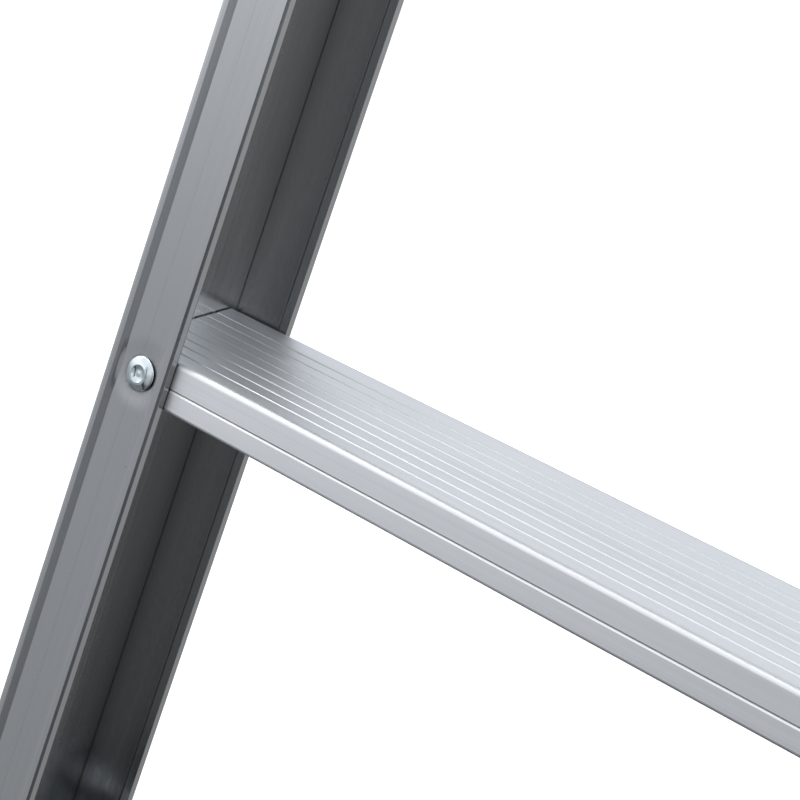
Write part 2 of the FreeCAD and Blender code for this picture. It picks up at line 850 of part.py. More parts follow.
def make_spacer(label):
    """The tube round a pivot bolt that keeps the inner cheek off the rail, along -X."""
    length = d.rail_width - d.web_wall + d.cheek_gap - d.spacer_slack * 3
    body = new_body(label)
    sketch = new_sketch(body, "YZ_Plane", "section")
    ring(sketch, 0, 0, d.pivot_radius + d.spacer_wall)
    ring(sketch, 0, 0, d.pivot_radius + d.fit_gap)
    pad(body, sketch, length, reverse=True)
    return body


def pair(label, shape, x, y, z):
    """The left and right copies of a fastener that lies along X."""
    copies = [
        moved(shape, side * x, y, z, (0, 0, 1), 0 if side > 0 else 180) for side in SIDES.values()
    ]
    return group(label, copies)


def make_lock_bracket(label, side):
    """The cast carrier inside the fly rail's channel that holds a rung lock's pin."""
    web = RAIL_OUTER - d.web_wall - d.fit_gap
    nose = RAIL_FREE_EDGE - d.carrier_nose
    rear = d.lock_setback - BASE_FRONT - d.bead_wall - 1
    front = -d.carrier_front
    tall = d.carrier_half
    wall = d.carrier_wall
    body = new_body(label)
    block = new_sketch(body, "YZ_Plane", "block", side * web)
    outline(block, box_points(front, rear, -tall, tall))
    pad(body, block, web - nose, reverse=side > 0)
    corners = [(y, z) for y in (front, rear) for z in (-tall, tall)]
    round_edges(body, "x", corners, d.carrier_round)
    hollow = new_sketch(body, "YZ_Plane", "hollow", side * (web - wall))
    outline(hollow, box_points(front + wall, rear - wall, wall - tall, tall - wall))
    cut(body, hollow, web - nose - d.carrier_end_wall, reverse=side < 0)
    bore = new_sketch(body, "YZ_Plane", "bore", side * (nose - d.overcut))
    ring(bore, 0, 0, d.lock_pin_radius + d.fit_gap)
    cut(body, bore, d.carrier_bore, reverse=side > 0)
    rivets = new_sketch(body, "YZ_Plane", "rivet_holes", side * (web + d.overcut))
    for height in (-d.lock_rivet_rise, d.lock_rivet_rise):
        ring(rivets, 0, height, HOLE_RADIUS)
    cut(body, rivets, wall + d.overcut * 2, reverse=side < 0)
    place(body, 0, -d.lock_setback, FLY_FIRST_TREAD + d.lock_height)
    return body


def make_hook(label, side):
    """The rung hook, drawn folded up; it swings down and rearwards over a base tread."""
    start = RAIL_FREE_EDGE - d.hook_gap
    seat = d.tread_above + d.hook_lift - d.lock_height
    lead = d.lock_setback + d.hook_lead
    back = d.lock_setback + d.hook_back
    lowered = [
        (-d.hook_root_front, -d.hook_root_low),
        (lead - d.hook_taper, seat + d.hook_throat),
        (lead, seat),
        (back, seat),
        (back, seat + d.hook_throat),
        (back - d.hook_beak_width, seat + d.hook_beak),
        (d.hook_root_rear, d.hook_root_high),
    ]
    body = new_body(label)
    fold_cos = d.hook_fold.cosine()
    fold_sin = d.hook_fold.sine()
    folded = [(y * fold_cos - z * fold_sin, y * fold_sin + z * fold_cos) for y, z in lowered]
    arm = new_sketch(body, "YZ_Plane", "arm", side * start)
    outline(arm, folded)
    pad(body, arm, d.hook_wall, reverse=side > 0)
    hub = new_sketch(body, "YZ_Plane", "hub", side * start)
    ring(hub, 0, 0, d.hook_hub)
    pad(body, hub, d.hook_wall, reverse=side > 0)
    bore = new_sketch(body, "YZ_Plane", "bore", side * (start + d.overcut))
    ring(bore, 0, 0, d.lock_pin_radius + d.fit_gap)
    cut(body, bore, d.hook_wall + d.overcut * 2, reverse=side < 0)
    place(body, 0, -d.lock_setback, FLY_FIRST_TREAD + d.lock_height)
    return body


def make_lock_pin(label):
    """The pin of a rung lock, along -X from inside its carrier, headed at the ladder's middle."""
    length = d.lock_pin_bore + d.hook_wall + d.lock_pin_slack
    radius = d.lock_pin_radius
    points = [
        (0, 0),
        (0, radius - d.lock_pin_chamfer),
        (-d.lock_pin_chamfer, radius),
        (-length, radius),
        (-length, radius * PIN_HEAD),
        (-length - d.lock_pin_crown, radius * PIN_CROWN),
        (-length - d.lock_pin_head, 0),
    ]
    return turned_body(label, points)


def build_section(name, front, first, rail_maker, nodes):
    """The rails, treads and tread rivets of one section."""
    for side_name, side in SIDES.items():
        nodes.append(rail_maker(f"{name}_rail_{side_name}", side))
    for number in range(DIMENSIONS["tread_count"]):
        height = first + d.tread_pitch * number
        nodes.append(make_tread(f"{name}_tread_{number + 1}", front, height))
    rear = front + d.rail_depth
    nodes.append(tread_rivets(f"{name}_front_rivets", RIVET, first, front, 0, 0))
    nodes.append(tread_rivets(f"{name}_rear_rivets", RIVET, first, rear, d.rivet_rise, 180))


def build_guides(name, facing, foot, nodes):
    for side_name, side in SIDES.items():
        nodes.append(make_bracket(f"{name}_guide_bracket_{side_name}", side, facing, foot))
        nodes.append(make_liner(f"{name}_guide_liner_{side_name}", side, facing, foot))
    bolt_x = RAIL_OUTER + d.slide_gap + d.liner_wall + d.bracket_wall
    nut_x = RAIL_OUTER - d.web_wall
    nodes.append(guide_fasteners(f"{name}_guide_bolts", GUIDE_BOLT.Shape, bolt_x, facing, foot))
    nodes.append(guide_fasteners(f"{name}_guide_nuts", GUIDE_NUT.Shape, nut_x, facing, foot))


RIVET = make_rivet("tread_rivet", d.bead_wall + d.fit_gap + d.tread_wall)
SIDE_RIVET = make_rivet("side_rivet", d.stop_wall + d.web_wall + d.fit_gap)
LOCK_RIVET = make_rivet("lock_rivet", d.web_wall + d.carrier_wall + d.fit_gap)
GUIDE_BOLT = make_guide_bolt("guide_bolt")
GUIDE_NUT = make_nut("guide_nut", d.bolt_radius + d.fit_gap, d.guide_nut_across, d.guide_nut_height)
PIVOT_BOLT = make_pivot_bolt("pivot_bolt")
PIVOT_NUT = make_nut("pivot_nut", d.pivot_radius + d.fit_gap, d.pivot_nut_across, d.pivot_nut_height)
PIVOT_SPACER = make_spacer("pivot_spacer")
LOCK_PIN = make_lock_pin("lock_pin")

NODES = []
build_section("base", BASE_FRONT, d.tread_pitch, make_base_rail, NODES)
build_section("fly", FLY_FRONT, FLY_FIRST_TREAD, make_fly_rail, NODES)
build_guides("base", -1, BASE_GUIDE_FOOT, NODES)
build_guides("fly", 1, d.fly_guide_foot, NODES)

for side_name, side in SIDES.items():
    NODES.append(make_cap(f"base_top_cap_{side_name}", side, BASE_FRONT, BASE_TOP, True))
    NODES.append(make_cap(f"fly_top_cap_{side_name}", side, FLY_FRONT, FLY_TOP, True))
    NODES.append(make_cap(f"fly_bottom_cap_{side_name}", side, FLY_FRONT, d.fly_foot, False))
    for place_name, centre in zip(("lower", "upper"), stop_centres()):
        NODES.append(make_stop(f"{place_name}_stop_{side_name}", side, centre))
    NODES.append(make_shoe(f"shoe_{side_name}", side))
    NODES.append(make_pad(f"shoe_pad_{side_name}", side))
    NODES.append(make_lock_bracket(f"lock_bracket_{side_name}", side))
    NODES.append(make_hook(f"lock_hook_{side_name}", side))

MIDDLE_Y = BASE_FRONT + d.rail_depth / 2
STOP_SPOTS = [
    (side, RAIL_OUTER + d.fit_gap + d.stop_wall, MIDDLE_Y, centre)
    for side in SIDES.values()
    for centre in stop_centres()
]
NODES.append(rivet_row("stop_rivets", SIDE_RIVET, STOP_SPOTS))
LOCK_SPOTS = [
    (side, RAIL_OUTER, -d.lock_setback, FLY_FIRST_TREAD + d.lock_height + rise)
    for side in SIDES.values()
    for rise in (-d.lock_rivet_rise, d.lock_rivet_rise)
]
NODES.append(rivet_row("lock_rivets", LOCK_RIVET, LOCK_SPOTS))
HEAD_X = RAIL_OUTER + d.cheek_gap + d.cheek_wall + d.pivot_slack
NUT_X = RAIL_FREE_EDGE - d.cheek_gap - d.cheek_wall - d.pivot_slack
SPACER_X = RAIL_OUTER - d.web_wall - d.spacer_slack
NODES.append(pair("shoe_pivot_bolts", PIVOT_BOLT.Shape, HEAD_X, MIDDLE_Y, d.pivot_height))
NODES.append(pair("shoe_pivot_nuts", PIVOT_NUT.Shape, NUT_X, MIDDLE_Y, d.pivot_height))
NODES.append(pair("shoe_spacers", PIVOT_SPACER.Shape, SPACER_X, MIDDLE_Y, d.pivot_height))
PIN_X = RAIL_FREE_EDGE + d.lock_pin_start
LOCK_Z = FLY_FIRST_TREAD + d.lock_height
NODES.append(pair("lock_pins", LOCK_PIN.Shape, PIN_X, -d.lock_setback, LOCK_Z))


def check_document():
    doc.recompute()
    for made in doc.Objects:
        if "Invalid" in made.State or "Error" in made.State:
            raise RuntimeError(f"{made.Name} failed: {made.State}")
    for node in NODES:
        if node.Shape.isNull() or not node.Shape.isValid():
            raise RuntimeError(f"{node.Label} has no valid shape")


def write_parts():
    os.makedirs("parts", exist_ok=True)
    for node in NODES:
        node.Shape.exportStep(f"parts/{node.Label}.step")


check_document()
write_parts()
print(len(NODES), "parts written")
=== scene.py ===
import json
import math

import bmesh
import bpy
from mathutils import Matrix, Vector
from mathutils.geometry import tessellate_polygon


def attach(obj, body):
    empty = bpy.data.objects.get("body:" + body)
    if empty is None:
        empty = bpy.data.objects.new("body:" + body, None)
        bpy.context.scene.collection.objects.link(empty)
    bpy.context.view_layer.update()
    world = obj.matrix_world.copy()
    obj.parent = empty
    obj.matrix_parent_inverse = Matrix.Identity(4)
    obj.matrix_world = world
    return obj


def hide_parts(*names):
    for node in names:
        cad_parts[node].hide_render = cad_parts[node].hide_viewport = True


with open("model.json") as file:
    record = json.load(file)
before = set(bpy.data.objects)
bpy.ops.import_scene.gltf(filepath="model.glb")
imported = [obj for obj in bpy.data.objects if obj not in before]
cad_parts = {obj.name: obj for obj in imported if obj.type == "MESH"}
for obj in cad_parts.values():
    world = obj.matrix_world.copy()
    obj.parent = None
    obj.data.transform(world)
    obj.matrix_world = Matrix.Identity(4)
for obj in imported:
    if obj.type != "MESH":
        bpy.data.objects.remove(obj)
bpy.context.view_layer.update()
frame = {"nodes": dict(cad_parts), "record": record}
NODES = frame["nodes"]
BODIES = frame["record"]["behaviour"]["bodies"]
BODY_OF = {node: body for body, members in BODIES.items() for node in members}

# Lengths are in millimetres unless a comment says otherwise.
MM = 0.001
RAIL_OUTER = 225.0
RIVET_LINE = 207.7
RAIL_WIDTH = 30.9
RAIL_DEPTH = 71.0
TREAD_PITCH = 280.0
TREAD_COUNT = 7
RIVET_RISE = 16.0
BEAD_WALL = 3.65
FIT_GAP = 0.05
TREAD_TILT = math.tan(math.radians(15))
SIDES = {"left": -1, "right": 1}

# (name, front face of its rails, foot and top of its rails, first tread)
SECTIONS = [
    ("base", 4.0, 34.0, 2110.0, 280.0),
    ("fly", -75.0, 470.0, 2390.0, 560.0),
]


# ---------------------------------------------------------------- node tools


class Graph:
    """Adds and links the nodes of one tree."""

    def __init__(self, tree):
        self.tree = tree
        tree.nodes.clear()

    def add(self, kind, **settings):
        node = self.tree.nodes.new(kind)
        for key, value in settings.items():
            setattr(node, key, value)
        return node

    def link(self, a, b):
        self.tree.links.new(a, b)

    def feed(self, socket, value):
        if isinstance(value, bpy.types.NodeSocket):
            self.link(value, socket)
        else:
            socket.default_value = value

    def ramp(self, fac, stops):
        node = self.add("ShaderNodeValToRGB")
        elements = node.color_ramp.elements
        while len(elements) < len(stops):
            elements.new(0.5)
        for element, (spot, tone) in zip(elements, stops):
            element.position = spot
            element.color = (*tone, 1)
        self.link(fac, node.inputs[0])
        return node.outputs[0]

    def math(self, kind, a, b):
        node = self.add("ShaderNodeMath", operation=kind)
        self.feed(node.inputs[0], a)
        self.feed(node.inputs[1], b)
        return node.outputs[0]

    def mix(self, fac, a, b):
        node = self.add("ShaderNodeMix", data_type="RGBA")
        self.feed(node.inputs["Factor"], fac)
        self.feed(node.inputs["A"], a)
        self.feed(node.inputs["B"], b)
        return node.outputs["Result"]


class Shade(Graph):
    """Builds one procedural material, node by node."""

    def __init__(self, name):
        self.material = bpy.data.materials.new(name)
        self.material.use_nodes = True
        super().__init__(self.material.node_tree)
        self.out = self.add("ShaderNodeOutputMaterial")
        self.shader = self.add("ShaderNodeBsdfPrincipled")
        self.link(self.shader.outputs[0], self.out.inputs[0])
        self.place = self.add("ShaderNodeTexCoord").outputs["Object"]

    def stretched(self, scale, turn=(0, 0, 0)):
        node = self.add("ShaderNodeMapping")
        node.inputs["Scale"].default_value = scale
        node.inputs["Rotation"].default_value = turn
        self.link(self.place, node.inputs["Vector"])
        return node.outputs[0]

    def noise(self, vector, scale, detail, rough):
        node = self.add("ShaderNodeTexNoise")
        self.link(vector, node.inputs["Vector"])
        node.inputs["Scale"].default_value = scale
        node.inputs["Detail"].default_value = detail
        node.inputs["Roughness"].default_value = rough
        return node.outputs["Fac"]

    def cells(self, scale):
        """Distance to the middle of the nearest cell."""
        node = self.add("ShaderNodeTexVoronoi", feature="F1")
        node.inputs["Scale"].default_value = scale
        self.link(self.place, node.inputs["Vector"])
        return node.outputs["Distance"]

    def span(self, value, low, high, start, end):
        node = self.add("ShaderNodeMapRange")
        self.link(value, node.inputs["Value"])
        limits = (("From Min", low), ("From Max", high), ("To Min", start), ("To Max", end))
        for name, number in limits:
            node.inputs[name].default_value = number
        return node.outputs[0]

    def spread(self, noise, start, end):
        """Takes the range where noise mostly lies to start..end."""
        return self.span(noise, 0.3, 0.7, start, end)

    def bump(self, height, strength, distance, before=None):
        """distance is in metres."""
        node = self.add("ShaderNodeBump")
        node.inputs["Strength"].default_value = strength
        node.inputs["Distance"].default_value = distance
        self.link(height, node.inputs["Height"])
        if before is not None:
            self.link(before, node.inputs["Normal"])
        return node.outputs[0]

    def finish(self, color, roughness, normal, **fixed):
        """fixed holds sockets of the shader by name, with _ for a space."""
        self.feed(self.shader.inputs["Base Color"], color)
        self.feed(self.shader.inputs["Roughness"], roughness)
        self.link(normal, self.shader.inputs["Normal"])
        for name, value in fixed.items():
            self.shader.inputs[name.replace("_", " ")].default_value = value
        return self.material


def scaled(tone, factor, lift=0.0):
    """A colour made lighter or darker."""
    return tuple(c * factor + lift for c in tone)


def capped(tone, factor):
    """A colour made lighter, with no channel over 1."""
    return tuple(min(1.0, c * factor) for c in tone)


def extruded(name, along, tone, contrast, rough, depth, specks):
    """Mill finish aluminium with fine die lines that run along one axis, darkened by painted shade
    that the mesh carries.
    """
    m = Shade(name)

    def drawn(lengthwise, crosswise, detail, roughness):
        scale = tuple(lengthwise if axis == along else crosswise for axis in "xyz")
        return m.noise(m.stretched(scale), 1.0, detail, roughness)

    fine = drawn(3.0, 1000.0, 2.0, 0.6)
    broad = drawn(1.2, 300.0, 3.0, 0.6)
    patch = drawn(9.0, 26.0, 3.0, 0.5)
    grit = m.noise(m.place, 1900.0, 2.0, 0.7)
    lines = m.math("ADD", m.math("MULTIPLY", fine, 0.45), m.math("MULTIPLY", broad, 0.55))
    low = scaled(tone, 1 - contrast)
    high = capped(tone, 1 + contrast)
    base = m.ramp(lines, [(0.3, low), (0.5, tone), (0.7, high)])
    clouded = m.mix(m.spread(patch, 0.0, 0.5), base, (*scaled(tone, 0.93), 1))
    dots = m.math("LESS_THAN", m.cells(62.0), specks)
    flecked = m.mix(dots, clouded, (*scaled(tone, 0.55), 1))
    # Painted shade: the mesh's darkening attribute mixes the colour towards near black; where it
    # drops, light is painted.
    tone_and_painted_shade = m.add("ShaderNodeAttribute", attribute_name="tone_and_painted_shade").outputs["Fac"]
    uneven_painted_shade = m.math("MULTIPLY", tone_and_painted_shade, m.spread(broad, 0.715, 0.775))
    painted_shade_color = m.mix(uneven_painted_shade, flecked, (*scaled(tone, 0.06), 1))
    wear = m.math("ADD", m.spread(broad, -0.035, 0.035), m.spread(patch, -0.03, 0.03))
    roughness = m.math("ADD", wear, m.spread(grit, rough - 0.02, rough + 0.02))
    lined = m.bump(lines, 0.35, depth)
    normal = m.bump(grit, 0.12, 0.00002, lined)
    return m.finish(painted_shade_color, roughness, normal, Metallic=1.0)


def plated(name, tone, rough, mottle, grain):
    """Zinc plate: faintly clouded bright metal with a fine tooth and small scuffs."""
    m = Shade(name)
    cloud = m.noise(m.place, mottle, 4.0, 0.6)
    tooth = m.noise(m.place, grain, 3.0, 0.65)
    scuff = m.noise(m.stretched((900.0, 140.0, 420.0), (0.4, 0.2, 0.9)), 1.0, 3.0, 0.7)
    low = scaled(tone, 0.82)
    high = capped(tone, 1.1)
    color = m.ramp(cloud, [(0.3, low), (0.52, tone), (0.72, high)])
    worn = m.mix(m.span(scuff, 0.62, 0.75, 0.0, 0.35), color, (*scaled(tone, 0.7), 1))
    rub = m.span(scuff, 0.35, 0.7, rough - 0.04, rough + 0.07)
    roughness = m.math("ADD", rub, m.spread(cloud, -0.04, 0.04))
    normal = m.bump(tooth, 0.2, 0.00003, m.bump(scuff, 0.12, 0.00002))
    return m.finish(worn, roughness, normal, Metallic=1.0)


def moulded(name, tone, rough, grain, depth, specular):
    """Moulded plastic or rubber: fine texture, faint bloom and rubbed patches."""
    m = Shade(name)
    cloud = m.noise(m.place, 38.0, 4.0, 0.6)
    tooth = m.noise(m.place, grain, 2.0, 0.7)
    pebbles = m.cells(grain * 0.7)
    low = scaled(tone, 0.8)
    high = scaled(tone, 1.7, 0.012)
    color = m.ramp(cloud, [(0.32, low), (0.55, tone), (0.78, high)])
    dusty = m.mix(m.span(tooth, 0.6, 0.75, 0.0, 0.3), color, (*scaled(tone, 1.6, 0.02), 1))
    rubbed = m.spread(cloud, rough - 0.06, rough + 0.06)
    roughness = m.math("ADD", rubbed, m.spread(tooth, -0.03, 0.03))
    normal = m.bump(pebbles, 0.35, depth, m.bump(tooth, 0.2, depth * 0.5))
    return m.finish(dusty, roughness, normal, Specular_IOR_Level=specular)


def cast(name, tone, rough):
    """Die cast aluminium: satin skin with a soft orange-peel and fine pits."""
    m = Shade(name)
    peel = m.noise(m.place, 700.0, 3.0, 0.6)
    cloud = m.noise(m.place, 60.0, 4.0, 0.6)
    pits = m.cells(420.0)
    low = scaled(tone, 0.8)
    high = scaled(tone, 1.12)
    color = m.ramp(cloud, [(0.3, low), (0.5, tone), (0.75, high)])
    satin = m.spread(cloud, rough - 0.05, rough + 0.05)
    roughness = m.math("ADD", satin, m.spread(peel, -0.03, 0.03))
    normal = m.bump(pits, 0.15, 0.00008, m.bump(peel, 0.4, 0.00006))
    return m.finish(color, roughness, normal, Metallic=1.0)


MATERIALS = {
    "rail_aluminium": extruded(
        "rail_extrusion",
        along="z",
        tone=(0.80, 0.817, 0.834),
        contrast=0.05,
        rough=0.21,
        depth=0.00004,
        specks=0.018,
    ),
    "tread_aluminium": extruded(
        "tread_extrusion",
        along="x",
        tone=(0.955, 0.975, 1.0),
        contrast=0.11,
        rough=0.48,
        depth=0.00008,
        specks=0.016,
    ),
}
# slot: (material, tone, roughness, scale of its clouds, scale of its tooth)
for slot, finish in {
    "zinc_rivet": ("bright_zinc_rivet", (0.74, 0.82, 0.86), 0.14, 180.0, 2600.0),
    "guide_steel": ("zinc_guide_steel", (0.60, 0.62, 0.64), 0.32, 60.0, 1800.0),
    "plated_fastener": ("zinc_fastener", (0.68, 0.70, 0.72), 0.22, 120.0, 2200.0),
    "shoe_steel": ("zinc_shoe_steel", (0.58, 0.60, 0.62), 0.34, 50.0, 1600.0),
    "hook_steel": ("zinc_hook_steel", (0.56, 0.58, 0.61), 0.28, 70.0, 1700.0),
}.items():
    MATERIALS[slot] = plated(*finish)
# slot: (material, tone, roughness, scale and depth in metres of its grain, specular level)
for slot, finish in {
    "liner_plastic": ("nylon_liner", (0.035, 0.035, 0.038), 0.48, 1500.0, 0.00005, 0.45),
    "cap_plastic": ("polypropylene_cap", (0.04, 0.04, 0.043), 0.5, 1100.0, 0.00008, 0.45),
    "pad_rubber": ("moulded_rubber", (0.022, 0.022, 0.023), 0.72, 900.0, 0.00012, 0.3),
}.items():
    MATERIALS[slot] = moulded(*finish)
# slot: (material, tone, roughness)
for slot, finish in {
    "stop_aluminium": ("tumbled_aluminium", (0.66, 0.67, 0.69), 0.36),
    "lock_casting": ("die_cast_carrier", (0.58, 0.59, 0.60), 0.4),
}.items():
    MATERIALS[slot] = cast(*finish)


# ---------------------------------------------------------------- mesh tools

# An arc has a point every this many degrees, and uses up to this share of each line that it joins.
ARC_STEP = 15.0
ARC_SHARE = 0.48
LEAST_TURN = 1e-3


def rounded(corners, step=ARC_STEP):
    """Turns (x, y, radius) corners into an outline whose corners are arcs."""
    points = []
    count = len(corners)
    for i, (x, y, radius) in enumerate(corners):
        here = Vector((x, y))
        before = Vector(corners[i - 1][:2]) - here
        after = Vector(corners[(i + 1) % count][:2]) - here
        turn = math.pi - before.angle(after)
        if radius <= 0 or turn < LEAST_TURN:
            points.append((x, y))
            continue
        half = math.tan(turn / 2)
        reach = min(radius * half, before.length * ARC_SHARE, after.length * ARC_SHARE)
        a, b = before.normalized(), after.normalized()
        middle = here + (a + b).normalized() * (reach / half / math.cos(turn / 2))
        start = here + a * reach - middle
        end = here + b * reach - middle
        parts = max(2, math.ceil(math.degrees(turn) / step))
        way = 1 if start.x * end.y - start.y * end.x > 0 else -1
        for n in range(parts + 1):
            point = middle + Matrix.Rotation(way * turn * n / parts, 2) @ start
            points.append((point.x, point.y))
    return points


def finished_mesh(name, bm):
    mesh = bpy.data.meshes.new(name)
    bm.to_mesh(mesh)
    bm.free()
    return mesh


def linked_object(name, mesh):
    obj = bpy.data.objects.new(name, mesh)
    bpy.context.scene.collection.objects.link(obj)
    return obj


def even_faces(obj, keep_sharp):
    normals = obj.modifiers.new("even_faces", "WEIGHTED_NORMAL")
    normals.keep_sharp = keep_sharp
    return normals


def make_object(name, mesh, slot, location=(0, 0, 0), sharp=32.0, weighted=True):
    """sharp is the angle in degrees over which an edge shows."""
    obj = linked_object(name, mesh)
    obj.location = location
    mesh.materials.clear()
    mesh.materials.append(MATERIALS[slot])
    mesh.shade_smooth()
    mesh.set_sharp_from_angle(angle=math.radians(sharp))
    if weighted:
        even_faces(obj, keep_sharp=True).weight = 80
    return obj


def loft(name, loops, stations, lay, tone_and_painted_shade):
    """A closed mesh: loops (outer first, then holes) carried along stations by lay(u, v, s).
    The darkening function of (u, v, s) says how dark the colour is painted: 0 is the clean tone,
    and 1 or more is near black. It carries painted shade, and painted light where it drops."""
    bm = bmesh.new()
    layer = bm.verts.layers.float.new("tone_and_painted_shade")
    rings = []
    for s in stations:
        rings.append([[bm.verts.new(lay(u, v, s)) for u, v in loop] for loop in loops])
        for made, loop in zip(rings[-1], loops):
            for vert, (u, v) in zip(made, loop):
                vert[layer] = tone_and_painted_shade(u, v, s)
    for low, high in zip(rings, rings[1:]):
        for a, b in zip(low, high):
            for i in range(len(a)):
                j = (i + 1) % len(a)
                bm.faces.new((a[i], a[j], b[j], b[i]))
    triangles = tessellate_polygon([[Vector((u, v, 0)) for u, v in loop] for loop in loops])
    for ends in (rings[0], rings[-1]):
        verts = [v for loop in ends for v in loop]
        for tri in triangles:
            bm.faces.new([verts[i] for i in tri])
    bmesh.ops.recalc_face_normals(bm, faces=bm.faces)
    return finished_mesh(name, bm)


def turned(profile, segments):
    """Vertices and faces of a closed shape turned about its axis, from (radius, height) points."""
    verts = [(0.0, 0.0, profile[0][1])]
    faces = []
    rings = profile[1:-1]
    for radius, height in rings:
        for n in range(segments):
            angle = 2 * math.pi * n / segments
            verts.append((radius * math.cos(angle), radius * math.sin(angle), height))
    verts.append((0.0, 0.0, profile[-1][1]))
    last = len(verts) - 1
    for n in range(segments):
        m = (n + 1) % segments
        faces.append((0, 1 + n, 1 + m))
        for r in range(len(rings) - 1):
            a, b = 1 + r * segments, 1 + (r + 1) * segments
            faces.append((a + n, b + n, b + m, a + m))
        end = 1 + (len(rings) - 1) * segments
        faces.append((end + n, last, end + m))
    return verts, faces


def copies(name, shape, places):
    """One mesh that holds a copy of shape at each matrix."""
    bm = bmesh.new()
    verts, faces = shape
    for matrix in places:
        made = [bm.verts.new(matrix @ Vector(v)) for v in verts]
        for face in faces:
            bm.faces.new([made[i] for i in face])
    bmesh.ops.recalc_face_normals(bm, faces=bm.faces)
    return finished_mesh(name, bm)


def settle(obj, slot, node):
    """Puts a finished piece on its body, in place of its CAD node, which it hides. slot is not
    used.
    """
    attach(obj, BODY_OF[node])
    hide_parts(node)


# ---------------------------------------------------------------- rails

# One flange from the web's outside to its inside, as (x, y, radius): the raised outer rim, the land
# with its groove, the free edge, the bead behind it, and the web's inner face.
RAIL_FLANGE = [
    (0, -0.85, 0.45),
    (2.9, -0.85, 0.6),
    (6.6, 0, 0.9),
    (15.43, 0, 0.0),
    (15.55, 0.06, 0.0),
    (15.67, 0, 0.0),
    (26.3, 0, 0.8),
    (26.9, -0.1, 0.6),
    (29.4, -0.1, 0.3),
    (RAIL_WIDTH, 0.28, 0.3),
    (RAIL_WIDTH, 3.0, 0.0),
    (RAIL_WIDTH, BEAD_WALL, 0.25),
    (26.9, BEAD_WALL, 0.15),
    (26.7, 2.55, 0.0),
    (25.8, 2.55, 0.1),
    (25.4, 3.0, 0.12),
    (2.0, 3.0, 0.1),
    (1.45, 2.75, 0.0),
    (1.6, 3.35, 0.1),
]
OUTLINE_SPACING = 1.8

# The dimple that a set rivet pulls into the flange.
DIMPLE_DEPTH = 0.6
DIMPLE_SEAT = 6.5
DIMPLE_RADIUS = 15.5
RIVET_INSET = RAIL_OUTER - RIVET_LINE
LAND_FROM = 6.5
LAND_TO = 25.4
LAND_SKIN = 1.0

# Heights of the mesh's rings: close together at a rivet, then wider apart above it and the foot.
RING_STEP = 1.6
RINGS_EACH_WAY = 10
RINGS_ABOVE_RIVET = (26.0, 40.0, 60.0, 90.0, 130.0, 180.0)
RINGS_ABOVE_FOOT = (20.0, 40.0, 60.0, 80.0, 110.0, 150.0, 190.0)

# Painted shade on the rail, over a plain darkening. Its final value is the least value plus the
# share of these, both given first below.
DARKENING_LEAST = 0.18
DARKENING_SHARE = 0.875
EDGE_PAINTED_SHADE = 0.62
LIP_PAINTED_SHADE = 1.2
BEAD_STEP_PAINTED_SHADE = 0.9
WEB_REAR_PAINTED_SHADE = 0.85
REAR_FLANGE_PAINTED_SHADE = 0.44
REAR_FLANGE_GAIN = 0.3
WEB_OUTSIDE_DARKENING = 0.25
PLAIN_DARKENING = 0.49
# Painted shade: a dark ring round each rivet head, fading outwards.
RIVET_RING_PAINTED_SHADE = 0.95
RIVET_RING_RADIUS = 7.0
RIVET_RING_FADE = 0.45

# Where that painted shade lies. FROM and TO are across the flange from the web's outside, and a
# margin is how far in from the nearer outer face.
EDGE_FROM = 30.6
LIP_FROM = 29.5
BEAD_BACK_FROM = 27.0
BEAD_BACK_MARGIN = 3.3
BEAD_STEP_FROM = 25.6
BEAD_STEP_TO = 26.95
BEAD_STEP_MARGIN = 2.5
WEB_INSIDE_FROM = 1.0
WEB_INSIDE_TO = 1.9
WEB_INSIDE_MARGIN = 2.9
WEB_OUTSIDE_TO = 0.5
CHANNEL_TO = 26.9
CHANNEL_MARGIN = 2.0
REAR_FLANGE_INSIDE = (67.5, 68.6)
REAR_FLANGE_REACH = 26.0
REARWARD_FROM = 36.0
REARWARD_REACH = 32.0
REARWARD_CURVE = 1.6

# Painted light: the web is painted lighter just above each tread, less and less up to the next. The
# stretch below the lowest tread counts as this far above one.
PAINTED_LIGHT_SHARE = 0.9
PAINTED_LIGHT_REACH = 60.0
PAINTED_LIGHT_BELOW_LOWEST = 130.0

# Painted shade inside the channel's foot, as (share, reach): a dense patch and a long tail.
FOOT_SHADE_PATCH = (0.22, 60.0)
FOOT_SHADE_TAIL = (0.08, 220.0)


def rail_loop():
    """The whole section, with extra points wherever two neighbours are far apart."""
    rear = [(x, RAIL_DEPTH - y, radius) for x, y, radius in reversed(RAIL_FLANGE)]
    points = rounded(RAIL_FLANGE + rear)
    filled = []
    for (x, y), (nx, ny) in zip(points, points[1:] + points[:1]):
        parts = max(1, math.ceil(math.hypot(nx - x, ny - y) / OUTLINE_SPACING))
        for n in range(parts):
            filled.append((x + (nx - x) * n / parts, y + (ny - y) * n / parts))
    return filled


def rearward(v):
    """0 on the front half of the web, rising to 1 and over at its rear."""
    return max(0.0, (v - REARWARD_FROM) / REARWARD_REACH) ** REARWARD_CURVE


